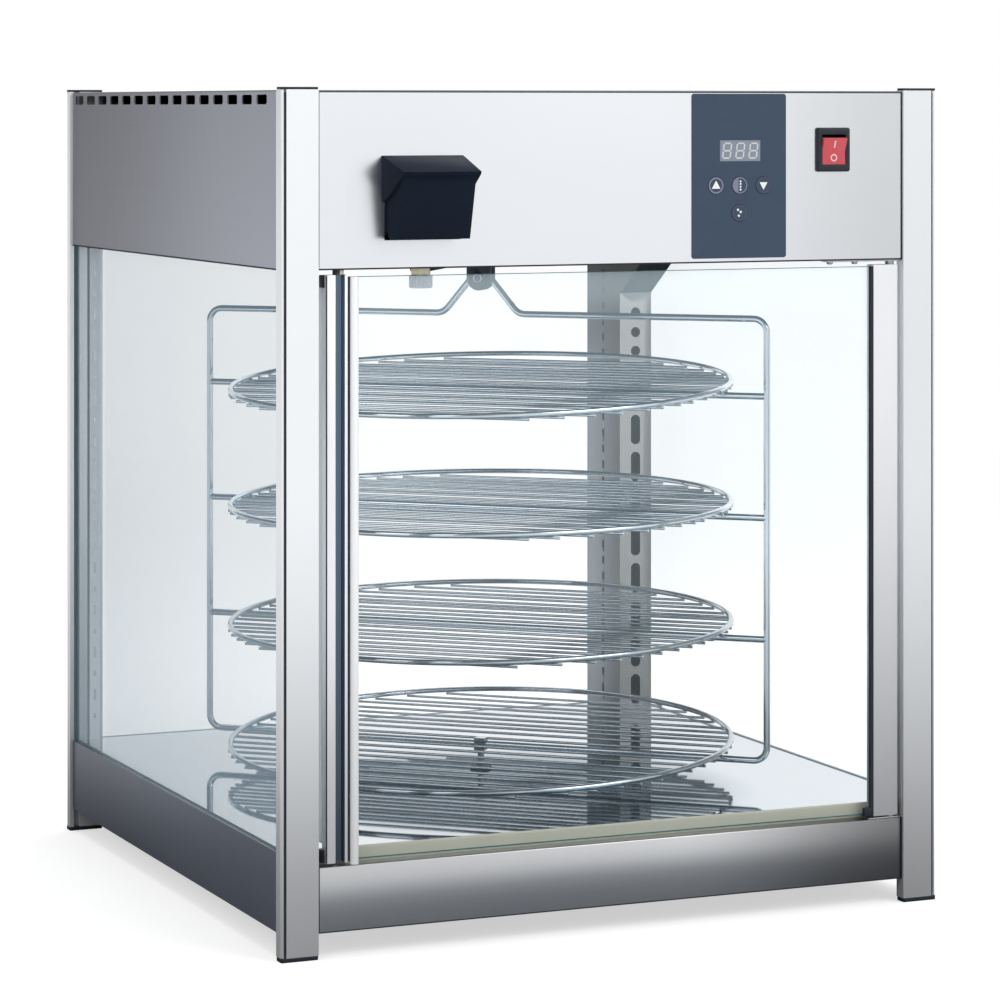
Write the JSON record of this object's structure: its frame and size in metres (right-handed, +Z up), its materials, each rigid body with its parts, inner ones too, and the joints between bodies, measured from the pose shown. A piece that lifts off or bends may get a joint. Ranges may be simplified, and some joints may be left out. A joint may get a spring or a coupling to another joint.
{
  "type": "heated display case",
  "caption": "Countertop heated display case with glass walls, a hinged glass door, a turning wire rack, a tilting water scoop and a control panel.",
  "frame": {"origin": "on the ground, under the middle of the whole object's bounding box, scoop and cable gland included", "axes": "+X to the right of a person who faces the door, +Y from the door to the back, +Z up"},
  "size_m": [0.6, 0.6464, 0.7],
  "materials": {
    "satin_aluminium": "satin anodised",
    "case_steel": "brushed",
    "floor_steel": "mirror polished",
    "inner_steel": "plain",
    "rack_wire": "bright",
    "dark_steel": "blackened",
    "sill_paint": "satin",
    "clear_glass": "clear, green at its edges",
    "black_plastic": "matte",
    "seal": "matte",
    "bead_plastic": "satin",
    "overlay_film": "satin",
    "board": "plain",
    "red_plastic": "gloss",
    "brass": "plain",
    "cap_plastic": "translucent",
    "motor_steel": "zinc plated"
  },
  "bodies": {
    "case": {"corner_post_front_left": "satin_aluminium", "corner_post_front_right": "satin_aluminium", "corner_post_rear_left": "satin_aluminium", "corner_post_rear_right": "satin_aluminium", "post_caps": "black_plastic", "feet": "black_plastic", "header_front": "case_steel", "header_left": "case_steel", "header_right": "case_steel", "header_rear": "case_steel", "top_cover": "case_steel", "ceiling_pan": "inner_steel", "base_front": "case_steel", "base_left": "case_steel", "base_right": "case_steel", "base_rear": "case_steel", "base_cover": "inner_steel", "floor_pan": "floor_steel", "sill_strip": "sill_paint", "glass_left": "clear_glass", "glass_right": "clear_glass", "glass_rear": "clear_glass", "slotted_strip": "inner_steel", "air_duct": "inner_steel", "door_fittings": "inner_steel", "rack_bushes": "black_plastic", "gearmotor": "motor_steel", "fill_frame": "black_plastic", "control_overlay": "overlay_film", "control_board": "board", "switch_body": "black_plastic", "drain_valve": "brass", "drain_cap": "cap_plastic", "water_pan": "inner_steel", "heaters": "inner_steel", "fan_housing": "inner_steel", "cable_gland": "black_plastic"},
    "door": {"door_glass": "clear_glass", "handle_stile": "satin_aluminium", "door_bead": "bead_plastic", "hinge_stile": "satin_aluminium", "door_gaskets": "seal", "door_caps": "black_plastic"},
    "rack": {"rack_hoop": "rack_wire", "rack_bars": "rack_wire", "rack_disc_1": "rack_wire", "rack_disc_2": "rack_wire", "rack_disc_3": "rack_wire", "rack_disc_4": "rack_wire", "floor_pin": "inner_steel", "drive_clevis": "dark_steel"},
    "scoop": {"fill_scoop": "black_plastic"},
    "switch_rocker": {"rocker": "red_plastic"},
    "up_key": {"key_up": "overlay_film"},
    "set_key": {"key_set": "overlay_film"},
    "down_key": {"key_down": "overlay_film"},
    "turn_key": {"key_turn": "overlay_film"},
    "valve_lever": {"drain_lever": "black_plastic"},
    "impeller": {"fan_impeller": "inner_steel"}
  },
  "joints": [
    {"name": "door_hinge", "type": "hinge", "parent": "case", "child": "door", "pos_m": [0.2595, -0.27325, 0.312], "axis": [0, 0, 1], "range_deg": [0, 95]},
    {"name": "rack_turn", "type": "hinge", "parent": "case", "child": "rack", "pos_m": [0, 0.01525, 0.3], "axis": [0, 0, 1], "continuous": true},
    {"name": "scoop_tilt", "type": "hinge", "parent": "case", "child": "scoop", "pos_m": [-0.177, -0.27375, 0.582], "axis": [1, 0, 0], "range_deg": [0, 35]},
    {"name": "rocker_tilt", "type": "hinge", "parent": "case", "child": "switch_rocker", "pos_m": [0.2, -0.27675, 0.6475], "axis": [1, 0, 0], "range_deg": [-20, 0]},
    {"name": "up_key_press", "type": "slide", "parent": "case", "child": "up_key", "axis": [0, 1, 0], "range_m": [0, 0.0005], "stiffness_N_per_m": 1000},
    {"name": "set_key_press", "type": "slide", "parent": "case", "child": "set_key", "axis": [0, 1, 0], "range_m": [0, 0.0005], "stiffness_N_per_m": 1000},
    {"name": "down_key_press", "type": "slide", "parent": "case", "child": "down_key", "axis": [0, 1, 0], "range_m": [0, 0.0005], "stiffness_N_per_m": 1000},
    {"name": "turn_key_press", "type": "slide", "parent": "case", "child": "turn_key", "axis": [0, 1, 0], "range_m": [0, 0.0005], "stiffness_N_per_m": 1000},
    {"name": "lever_turn", "type": "hinge", "parent": "case", "child": "valve_lever", "pos_m": [-0.1554, -0.21275, 0.5496], "axis": [0, 1, 0], "range_deg": [0, 90]},
    {"name": "impeller_spin", "type": "hinge", "parent": "case", "child": "impeller", "pos_m": [0.168, 0.21525, 0.58], "axis": [0, 0, 1], "continuous": true}
  ]
}
